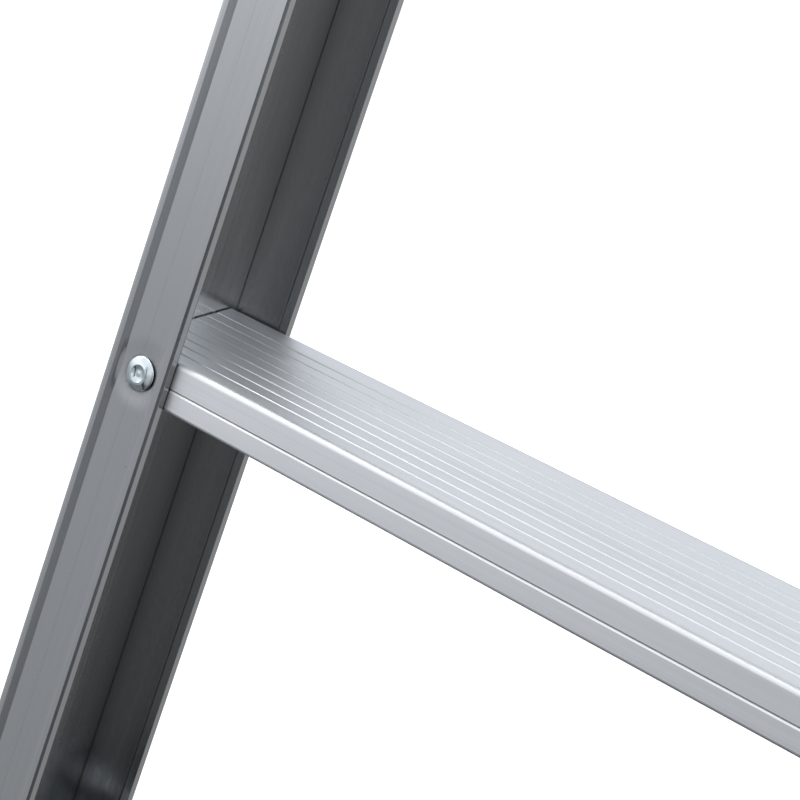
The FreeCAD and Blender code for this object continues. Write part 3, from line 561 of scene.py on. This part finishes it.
def section_tone_and_painted_shade(u, v):
    """Painted shade on the free edge, its lip, the bead's step, the web's rear and the rear
    flange's inside; a plain darkening elsewhere, less on the web's outside.
    """
    margin = min(v, RAIL_DEPTH - v)
    at_bead_back = margin > BEAD_BACK_MARGIN
    # Painted shade on the free edge, its lip and the bead's step, deepening towards the channel's
    # rear corner.
    if u > BEAD_BACK_FROM and v > RAIL_DEPTH / 2 and at_bead_back:
        return EDGE_PAINTED_SHADE
    if u > LIP_FROM and at_bead_back:
        return LIP_PAINTED_SHADE
    if u > EDGE_FROM:
        return EDGE_PAINTED_SHADE
    if BEAD_STEP_FROM < u < BEAD_STEP_TO and margin > BEAD_STEP_MARGIN:
        return BEAD_STEP_PAINTED_SHADE
    if WEB_INSIDE_FROM < u < WEB_INSIDE_TO and margin > WEB_INSIDE_MARGIN:
        return WEB_REAR_PAINTED_SHADE * rearward(v)
    low, high = REAR_FLANGE_INSIDE
    if WEB_INSIDE_FROM < u < CHANNEL_TO and low < v < high:
        return REAR_FLANGE_PAINTED_SHADE + REAR_FLANGE_GAIN * (u - WEB_INSIDE_FROM) / REAR_FLANGE_REACH
    if u < WEB_OUTSIDE_TO:
        return WEB_OUTSIDE_DARKENING
    return PLAIN_DARKENING


def on_land(u, v):
    return LAND_FROM < u < LAND_TO and (v < LAND_SKIN or v > RAIL_DEPTH - LAND_SKIN)


def rail_mesh(name, side, front, foot, top, first):
    """One rail, with the shallow dimple that each set rivet pulls into its flanges."""
    treads = [first + TREAD_PITCH * n for n in range(TREAD_COUNT)]
    centres = [(z + rise, rise > 0) for z in treads for rise in (0.0, RIVET_RISE)]
    close = [step * RING_STEP for step in range(-RINGS_EACH_WAY, RINGS_EACH_WAY + 1)]
    stations = {foot, top, *(foot + step for step in RINGS_ABOVE_FOOT)}
    for height, _ in centres:
        stations.update(height + step for step in (*close, *RINGS_ABOVE_RIVET))

    def lay(u, v, s):
        y = v
        at_rear = v > RAIL_DEPTH / 2
        if on_land(u, v):
            for height, rear in centres:
                gap = math.hypot(u - RIVET_INSET, s - height)
                if rear == at_rear and gap < DIMPLE_RADIUS:
                    share = max(0.0, gap - DIMPLE_SEAT) / (DIMPLE_RADIUS - DIMPLE_SEAT)
                    sink = DIMPLE_DEPTH * (0.5 + 0.5 * math.cos(math.pi * share))
                    y += -sink if at_rear else sink
        return (side * (RAIL_OUTER - u) * MM, (front + y) * MM, s * MM)

    # Painted shade inside the channel, thickest at the foot and fading upwards.
    def foot_shade(s):
        (patch, patch_reach), (tail, tail_reach) = FOOT_SHADE_PATCH, FOOT_SHADE_TAIL
        up = s - foot
        return patch * math.exp(-((up / patch_reach) ** 2)) + tail * math.exp(-up / tail_reach)

    def tone_and_painted_shade(u, v, s):
        here = section_tone_and_painted_shade(u, v)
        if on_land(u, v):
            at_rear = v > RAIL_DEPTH / 2
            near = min(math.hypot(u - RIVET_INSET, s - z) for z, rear in centres if rear == at_rear)
            # Painted shade round the rivet head.
            ring = RIVET_RING_PAINTED_SHADE - RIVET_RING_FADE * max(0.0, near - RIVET_RING_RADIUS)
            return DARKENING_LEAST + DARKENING_SHARE * max(here, ring)
        usual = DARKENING_LEAST + DARKENING_SHARE * here
        on_web = WEB_INSIDE_MARGIN < v < RAIL_DEPTH - WEB_INSIDE_MARGIN
        if WEB_INSIDE_FROM < u < WEB_INSIDE_TO and on_web:
            # Painted light: the web is painted lighter just above each tread, fading upwards.
            above = min([s - z for z, _ in centres if s > z], default=PAINTED_LIGHT_BELOW_LOWEST)
            painted_light = PAINTED_LIGHT_SHARE * math.exp(-above / PAINTED_LIGHT_REACH)
            return max(0.0, usual - painted_light) + rearward(v) * foot_shade(s)
        # Painted shade inside the channel, thickest at the rail's foot.
        if WEB_INSIDE_FROM < u < CHANNEL_TO and CHANNEL_MARGIN < v < RAIL_DEPTH - CHANNEL_MARGIN:
            return usual + foot_shade(s)
        return usual

    kept = sorted(s for s in stations if foot <= s <= top)
    return loft(name, [rail_loop()], kept, lay, tone_and_painted_shade)


# ---------------------------------------------------------------- treads

TREAD_REACH = RAIL_DEPTH - 2 * BEAD_WALL - 2 * FIT_GAP
TREAD_HALF = 222.6
TREAD_LOW = -10.65
TREAD_HIGH = 9.87
TREAD_WALL = 1.8
CELL_RADIUS = 0.8
CELL_ARC_STEP = 30.0
GROOVE_FIRST = 8.05
GROOVE_PITCH = 6.375
GROOVE_COUNT = 8
GROOVE_WIDTH = 1.25
GROOVE_DEPTH = 0.5
GROOVE_LIP = 0.22
GROOVE_ROOT = 0.12

# The front edge, from the nose down past the slot, as (y, z, radius).
TREAD_FRONT = [
    (0, TREAD_HIGH, 2.7),
    (0, -0.72, 0.15),
    (0.7, -0.82, 0.1),
    (0.7, -1.05, 0.1),
    (0.3, -1.42, 0.2),
    (0, -2.05, 0.5),
]

# Painted shade on the tread, and where it lies. The groove walls get none, a painted highlight that
# shows them as lighter lines.
TREAD_BASE_DARKENING = 0.12
BEHIND_RAIL_PAINTED_SHADE = 1.3
SLOT_PAINTED_SHADE = 0.7
HEEL_PAINTED_SHADE_GAIN = 0.6
BOTTOM_EDGE_PAINTED_SHADE = 0.55
FRONT_FACE_TO = 0.7
SLOT_WALL = (0.4, 0.9)
SLOT_HEIGHTS = (-1.4, -0.7)
HEEL_WIDTH = 4.6
HEEL_FADE = 1.4
BOTTOM_EDGE_TO = 1.6
BOTTOM_EDGE_HEIGHT = 0.9
GROOVES_FROM = 4.0
GROOVE_HIGHLIGHT_DEPTH = 0.2

# The mesh's rings by the rail's edge, inwards and outwards of it, so that the painted shade behind
# the rail ends there.
RINGS_AT_RAIL_EDGE = (0.7, -0.3)


def tread_loops():
    """The tread's outline and its two hollow cells, y rearwards and z up."""
    cos_tilt = math.cos(math.atan(TREAD_TILT))
    sin_tilt = math.sin(math.atan(TREAD_TILT))

    def on_top(along, down):
        return (along * cos_tilt + down * sin_tilt, TREAD_HIGH + along * sin_tilt - down * cos_tilt)

    outer = [
        (0, TREAD_LOW, 1.5),
        (TREAD_REACH, TREAD_LOW + TREAD_REACH * TREAD_TILT, 1.1),
        (TREAD_REACH, TREAD_HIGH + TREAD_REACH * TREAD_TILT, 3.9),
    ]
    half = GROOVE_WIDTH / 2 * GROOVE_DEPTH / (GROOVE_DEPTH + 0.2)
    for n in reversed(range(GROOVE_COUNT)):
        centre = GROOVE_FIRST + GROOVE_PITCH * n
        outer.append((*on_top(centre + half, 0), GROOVE_LIP))
        outer.append((*on_top(centre, GROOVE_DEPTH), GROOVE_ROOT))
        outer.append((*on_top(centre - half, 0), GROOVE_LIP))
    outer += TREAD_FRONT
    middle = TREAD_REACH / 2
    low = TREAD_LOW + TREAD_WALL
    high = TREAD_HIGH - TREAD_WALL
    cells = []
    for start, end in (
        (TREAD_WALL, middle - TREAD_WALL / 2),
        (middle + TREAD_WALL / 2, TREAD_REACH - TREAD_WALL),
    ):
        corners = ((start, low), (end, low), (end, high), (start, high))
        cells.append([(y, z + y * TREAD_TILT, CELL_RADIUS) for y, z in corners])
    return [rounded(outer)] + [rounded(cell, CELL_ARC_STEP) for cell in cells]


def tread_painted_light_and_shade(u, v, s):
    """Painted shade in the front slot, where the front face passes behind the rail, along the
    bottom front edge and along the heel; the groove walls are left lighter as a painted highlight.
    """
    on_heel = u - TREAD_REACH + HEEL_WIDTH
    below_top = TREAD_HIGH + u * TREAD_TILT - v
    # Painted shade where the front face passes behind the rail, in the slot, along the heel and the
    # bottom front edge.
    if u < FRONT_FACE_TO and v < TREAD_HIGH and abs(s) > RAIL_OUTER - RAIL_WIDTH:
        return BEHIND_RAIL_PAINTED_SHADE
    if SLOT_WALL[0] < u < SLOT_WALL[1] and SLOT_HEIGHTS[0] < v < SLOT_HEIGHTS[1]:
        return SLOT_PAINTED_SHADE
    if on_heel > 0 and v > 0:
        return TREAD_BASE_DARKENING + HEEL_PAINTED_SHADE_GAIN * min(1.0, on_heel / HEEL_FADE)
    if u < BOTTOM_EDGE_TO and v < TREAD_LOW + BOTTOM_EDGE_HEIGHT:
        return BOTTOM_EDGE_PAINTED_SHADE
    # Painted highlight: the groove walls get no darkening, so they show as lighter lines.
    if u > GROOVES_FROM and v > 0 and below_top > GROOVE_HIGHLIGHT_DEPTH:
        return 0.0
    return TREAD_BASE_DARKENING


def tread_mesh():
    def lay(u, v, s):
        return (s * MM, u * MM, v * MM)

    edge = RAIL_OUTER - RAIL_WIDTH
    right = [edge - step for step in RINGS_AT_RAIL_EDGE] + [TREAD_HALF]
    left = [-s for s in reversed(right)]
    return loft("tread_shape", tread_loops(), left + right, lay, tread_painted_light_and_shade)


# ---------------------------------------------------------------- rivets

RIVET_SINK = 0.3
RIVET_SEGMENTS = 48
RIVET_TURN = 0.7

# (radius, height) from the middle of the set mandrel out to the flange's underside and shank.
RIVET_PROFILE = [
    (0.0, 1.32),
    (0.5, 1.3),
    (0.9, 1.22),
    (1.2, 1.16),
    (1.5, 1.17),
    (2.0, 1.28),
    (2.5, 1.46),
    (3.0, 1.66),
    (3.4, 1.85),
    (3.62, 1.96),
    (3.8, 1.98),
    (3.92, 1.93),
    (4.05, 1.87),
    (4.25, 1.86),
    (4.6, 1.76),
    (5.2, 1.52),
    (5.8, 1.27),
    (6.3, 1.05),
    (6.7, 0.84),
    (6.95, 0.68),
    (7.1, 0.55),
    (7.16, 0.42),
    (7.1, 0.3),
    (6.9, 0.18),
    (6.4, -0.1),
    (5.0, -0.3),
    (2.4, -0.34),
    (2.4, -5.4),
    (3.45, -5.6),
    (3.45, -8.1),
    (2.6, -9.3),
    (0.0, -9.5),
]


def facing(x, y, z, direction, roll):
    """Matrix that puts a turned shape's axis along direction, at x, y, z in millimetres."""
    aim = Vector(direction).to_track_quat("Z", "Y").to_matrix().to_4x4()
    spin = Matrix.Rotation(roll, 4, "Z")
    return Matrix.Translation(Vector((x, y, z)) * MM) @ aim @ spin @ Matrix.Scale(MM, 4)


def tread_rivets(section, front, first):
    for row, y, rise, direction in (
        ("front", front + RIVET_SINK, 0.0, (0, -1, 0)),
        ("rear", front + RAIL_DEPTH - RIVET_SINK, RIVET_RISE, (0, 1, 0)),
    ):
        places = [
            facing(side * RIVET_LINE, y, first + TREAD_PITCH * n + rise, direction, RIVET_TURN * n)
            for n in range(TREAD_COUNT)
            for side in SIDES.values()
        ]
        name = f"{section}_{row}_rivets"
        mesh = copies(f"{name}_shape", turned(RIVET_PROFILE, RIVET_SEGMENTS), places)
        obj = make_object(f"{name}_look", mesh, "zinc_rivet", sharp=50.0, weighted=False)
        settle(obj, "zinc_rivet", name)


for section, front, foot, top, first in SECTIONS:
    for side_name, side in SIDES.items():
        node = f"{section}_rail_{side_name}"
        mesh = rail_mesh(f"{node}_shape", side, front, foot, top, first)
        settle(make_object(f"{node}_look", mesh, "rail_aluminium"), "rail_aluminium", node)
    tread = tread_mesh()
    for number in range(TREAD_COUNT):
        node = f"{section}_tread_{number + 1}"
        spot = Vector((0, front + BEAD_WALL + FIT_GAP, first + TREAD_PITCH * number)) * MM
        obj = make_object(f"{node}_look", tread, "tread_aluminium", spot, sharp=28.0)
        settle(obj, "tread_aluminium", node)
    tread_rivets(section, front, first)


# ---------------------------------------------------------------- fittings

WELD_DISTANCE = 2e-6  # metres
FLAT_ANGLE = math.radians(1.0)
BREAK_ANGLE = 32.0


def refine(node, slot, bevel):
    """A cleaned copy of a CAD node with softly broken edges."""
    bm = bmesh.new()
    bm.from_mesh(NODES[node].data)
    bmesh.ops.remove_doubles(bm, verts=bm.verts, dist=WELD_DISTANCE)
    bmesh.ops.dissolve_limit(bm, angle_limit=FLAT_ANGLE, verts=bm.verts, edges=bm.edges)
    bmesh.ops.recalc_face_normals(bm, faces=bm.faces)
    mesh = finished_mesh(f"{node}_shape", bm)
    obj = make_object(f"{node}_look", mesh, slot, sharp=BREAK_ANGLE, weighted=False)
    soft = obj.modifiers.new("broken_edges", "BEVEL")
    soft.width = bevel * MM
    soft.segments = 2
    soft.limit_method = "ANGLE"
    soft.angle_limit = math.radians(BREAK_ANGLE)
    soft.use_clamp_overlap = True
    even_faces(obj, keep_sharp=False)
    settle(obj, slot, node)


# (node, slot, width of its broken edges)
FITTINGS = []
for side_name in SIDES:
    for section in ("base", "fly"):
        FITTINGS.append((f"{section}_guide_bracket_{side_name}", "guide_steel", 0.4))
        FITTINGS.append((f"{section}_guide_liner_{side_name}", "liner_plastic", 0.3))
        FITTINGS.append((f"{section}_top_cap_{side_name}", "cap_plastic", 0.8))
    FITTINGS.append((f"fly_bottom_cap_{side_name}", "cap_plastic", 0.8))
    for place_name in ("lower", "upper"):
        FITTINGS.append((f"{place_name}_stop_{side_name}", "stop_aluminium", 0.8))
    FITTINGS.append((f"shoe_{side_name}", "shoe_steel", 0.5))
    FITTINGS.append((f"shoe_pad_{side_name}", "pad_rubber", 0.6))
    FITTINGS.append((f"lock_bracket_{side_name}", "lock_casting", 0.7))
    FITTINGS.append((f"lock_hook_{side_name}", "hook_steel", 0.7))
for section in ("base", "fly"):
    FITTINGS.append((f"{section}_guide_bolts", "plated_fastener", 0.2))
    FITTINGS.append((f"{section}_guide_nuts", "plated_fastener", 0.4))
for name in ("shoe_pivot_bolts", "shoe_pivot_nuts", "shoe_spacers", "lock_pins"):
    FITTINGS.append((name, "plated_fastener", 0.4))
for name in ("stop_rivets", "lock_rivets"):
    FITTINGS.append((name, "zinc_rivet", 0.15))
for node, slot, bevel in FITTINGS:
    refine(node, slot, bevel)


# ---------------------------------------------------------------- studio

# In metres. The backdrop is just outside the floor, so that no gap shows between them.
FLOOR_RADIUS = 44.0
BACKDROP_RADIUS = 45.0
WHITE = (1, 1, 1, 1)


def floor_material():
    m = Shade("studio_floor")
    cloud = m.noise(m.place, 3.0, 3.0, 0.5)
    grain = m.noise(m.place, 240.0, 2.0, 0.6)
    color = m.ramp(cloud, [(0.3, (0.87, 0.87, 0.87)), (0.7, (0.9, 0.9, 0.9))])
    roughness = m.spread(cloud, 0.85, 0.95)
    normal = m.bump(grain, 0.05, 0.0002)
    return m.finish(color, roughness, normal, Emission_Color=WHITE, Emission_Strength=0.35)


def stage_object(name, bm, material):
    obj = linked_object(name, finished_mesh(name, bm))
    obj.data.materials.append(material)
    return obj


def studio_floor():
    bm = bmesh.new()
    bmesh.ops.create_circle(bm, cap_ends=True, segments=96, radius=FLOOR_RADIUS)
    obj = stage_object("studio_floor", bm, floor_material())
    obj.visible_glossy = False
    return obj


def backdrop():
    """A pale shell far behind everything, seen by the camera and not by the metal."""
    material = bpy.data.materials.new("studio_backdrop")
    material.use_nodes = True
    graph = Graph(material.node_tree)
    out = graph.add("ShaderNodeOutputMaterial")
    glow = graph.add("ShaderNodeEmission")
    glow.inputs["Color"].default_value = WHITE
    glow.inputs["Strength"].default_value = 1.05
    graph.link(glow.outputs[0], out.inputs[0])
    bm = bmesh.new()
    bmesh.ops.create_uvsphere(bm, u_segments=48, v_segments=24, radius=BACKDROP_RADIUS)
    obj = stage_object("studio_backdrop", bm, material)
    for ray in ("diffuse", "glossy", "transmission", "shadow"):
        setattr(obj, f"visible_{ray}", False)
    return obj


floor = studio_floor()
shell = backdrop()

# The room that the metal reflects, as (azimuth, colour): azimuth runs in degrees from the climber's
# side (0) by the left (+90).
LOW_RING = [
    (-180, (0.40, 0.41, 0.42)),
    (-150, (0.52, 0.52, 0.51)),
    (-130, (0.66, 0.67, 0.67)),
    (-85, (0.62, 0.62, 0.63)),
    (-60, (0.215, 0.215, 0.215)),
    (-23, (0.215, 0.215, 0.215)),
    (-12, (0.50, 0.51, 0.52)),
    (2, (0.50, 0.51, 0.52)),
    (6, (0.05, 0.055, 0.075)),
    (14, (0.05, 0.055, 0.075)),
    (17, (0.70, 0.715, 0.74)),
    (21, (0.57, 0.585, 0.61)),
    (44, (0.56, 0.575, 0.60)),
    (56, (0.66, 0.68, 0.71)),
    (80, (0.40, 0.41, 0.43)),
    (110, (0.46, 0.47, 0.48)),
    (150, (0.24, 0.25, 0.27)),
    (180, (0.40, 0.41, 0.42)),
]
HORIZON_RING = [
    (-180, (0.55, 0.56, 0.57)),
    (-150, (0.66, 0.66, 0.65)),
    (-130, (0.84, 0.85, 0.86)),
    (-85, (0.84, 0.85, 0.86)),
    (-60, (0.42, 0.42, 0.42)),
    (-30, (0.40, 0.40, 0.40)),
    (-23, (0.40, 0.40, 0.40)),
    (-12, (0.95, 0.97, 1.0)),
    (2, (0.95, 0.97, 1.0)),
    (6, (0.10, 0.11, 0.14)),
    (14, (0.10, 0.11, 0.14)),
    (17, (1.42, 1.46, 1.50)),
    (21, (1.18, 1.22, 1.27)),
    (80, (1.16, 1.20, 1.25)),
    (110, (0.75, 0.77, 0.79)),
    (150, (0.42, 0.43, 0.45)),
    (180, (0.55, 0.56, 0.57)),
]
SKY_RING = [
    (-180, (0.82, 0.85, 0.89)),
    (-120, (0.82, 0.85, 0.89)),
    (-60, (0.90, 0.92, 0.95)),
    (0, (1.0, 1.02, 1.04)),
    (60, (1.0, 1.02, 1.04)),
    (120, (0.80, 0.83, 0.87)),
    (180, (0.82, 0.85, 0.89)),
]
# (height, share), where height is -1 straight down, 0 level and 1 straight up.
FLOOR_FALL = [(-1.0, 0.25), (-0.62, 0.4), (-0.48, 0.84), (-0.44, 0.86), (-0.23, 1.0), (1.0, 1.0)]
LOW_TO_HORIZON = [(-1.0, 0.0), (-0.18, 0.0), (0.1, 1.0), (1.0, 1.0)]
HORIZON_TO_SKY = [(-1.0, 0.0), (0.14, 0.0), (0.36, 1.0), (1.0, 1.0)]
# Ramps hold colours up to 1, so the rings are divided by this and the light is multiplied by it.
HEADROOM = 2.0


def room():
    world = bpy.data.worlds.new("studio_room")
    bpy.context.scene.world = world
    world.use_nodes = True
    graph = Graph(world.node_tree)
    way = graph.add("ShaderNodeTexCoord").outputs["Generated"]
    split = graph.add("ShaderNodeSeparateXYZ")
    graph.link(way, split.inputs[0])
    across = graph.math("MULTIPLY", split.outputs["X"], -1.0)
    ahead = graph.math("MULTIPLY", split.outputs["Y"], -1.0)
    turn = graph.math("ARCTAN2", across, ahead)
    share = graph.math("ADD", graph.math("DIVIDE", turn, 2 * math.pi), 0.5)
    height = graph.math("ADD", graph.math("MULTIPLY", split.outputs["Z"], 0.5), 0.5)
    low, horizon, sky = (
        graph.ramp(share, [(angle / 360 + 0.5, scaled(tone, 1 / HEADROOM)) for angle, tone in ring])
        for ring in (LOW_RING, HORIZON_RING, SKY_RING)
    )
    fall, upper, top = (
        graph.ramp(height, [(z / 2 + 0.5, (value, value, value)) for z, value in stops])
        for stops in (FLOOR_FALL, LOW_TO_HORIZON, HORIZON_TO_SKY)
    )
    dimmed = graph.add("ShaderNodeVectorMath", operation="MULTIPLY")
    graph.link(low, dimmed.inputs[0])
    graph.link(fall, dimmed.inputs[1])
    lower = graph.mix(upper, dimmed.outputs[0], horizon)
    whole = graph.mix(top, lower, sky)
    back = graph.add("ShaderNodeBackground")
    back.inputs["Strength"].default_value = HEADROOM
    graph.link(whole, back.inputs["Color"])
    out = graph.add("ShaderNodeOutputWorld")
    graph.link(back.outputs[0], out.inputs[0])


def softbox(name, location, target, width, height, power):
    """Places and sizes are in metres, and power is in watts."""
    lamp = bpy.data.lights.new(name, "AREA")
    lamp.shape = "RECTANGLE"
    lamp.size = width
    lamp.size_y = height
    lamp.energy = power
    obj = linked_object(name, lamp)
    obj.location = location
    aim = Vector(target) - Vector(location)
    obj.rotation_euler = aim.to_track_quat("-Z", "Y").to_euler()
    obj.visible_camera = False


room()
for name, location, target, width, height, power in (
    ("top_softbox", (-0.6, -0.8, 5.2), (0, 0, 0.6), 3.2, 3.2, 80.0),
    ("left_softbox", (-3.4, -1.2, 2.6), (0, 0, 1.1), 1.6, 2.6, 36.0),
):
    softbox(name, location, target, width, height, power)

# ---------------------------------------------------------------- camera

# The view's own axes, and its place in metres.
RIGHT = Vector((0.7731, 0.5428, 0.3282))
UP = Vector((-0.3845, -0.0105, 0.9231))
BACK = Vector((0.5045, -0.8398, 0.2006))
EYE = (0.24468, -0.55270, 0.45080)

camera = bpy.data.cameras.new("studio_camera")
camera.sensor_width = 36.0
camera.lens = 82.40
camera.clip_start = 0.01
camera.clip_end = 200.0
camera_object = linked_object("studio_camera", camera)
turned_axes = Matrix((RIGHT, UP, BACK)).transposed().to_quaternion().to_matrix().to_4x4()
camera_object.matrix_world = Matrix.Translation(EYE) @ turned_axes
bpy.context.scene.camera = camera_object
bpy.context.scene.view_settings.view_transform = "Standard"
